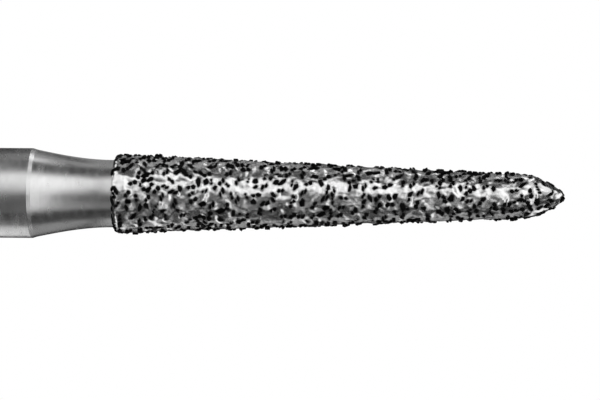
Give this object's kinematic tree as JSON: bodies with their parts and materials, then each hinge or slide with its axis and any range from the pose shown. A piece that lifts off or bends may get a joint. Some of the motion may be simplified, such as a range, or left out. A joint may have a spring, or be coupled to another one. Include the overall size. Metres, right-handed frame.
{
  "type": "dental bur",
  "caption": "Slender tapered diamond bur with a pointed tip, a flared neck and a plain friction-grip shank.",
  "frame": {"origin": "middle of the flat end of the shank", "axes": "+Z along the bur's axis, from the shank towards the tip"},
  "size_m": [0.0016, 0.0016, 0.0214],
  "materials": {
    "steel": "fine turned, bright",
    "nickel": "bright electroplated, lumpy round the grit",
    "diamond": "dark, glassy crystal faces"
  },
  "bodies": {
    "root": {"steel_blank": "steel", "nickel_coat": "nickel", "diamond_grit": "diamond"}
  },
  "joints": []
}
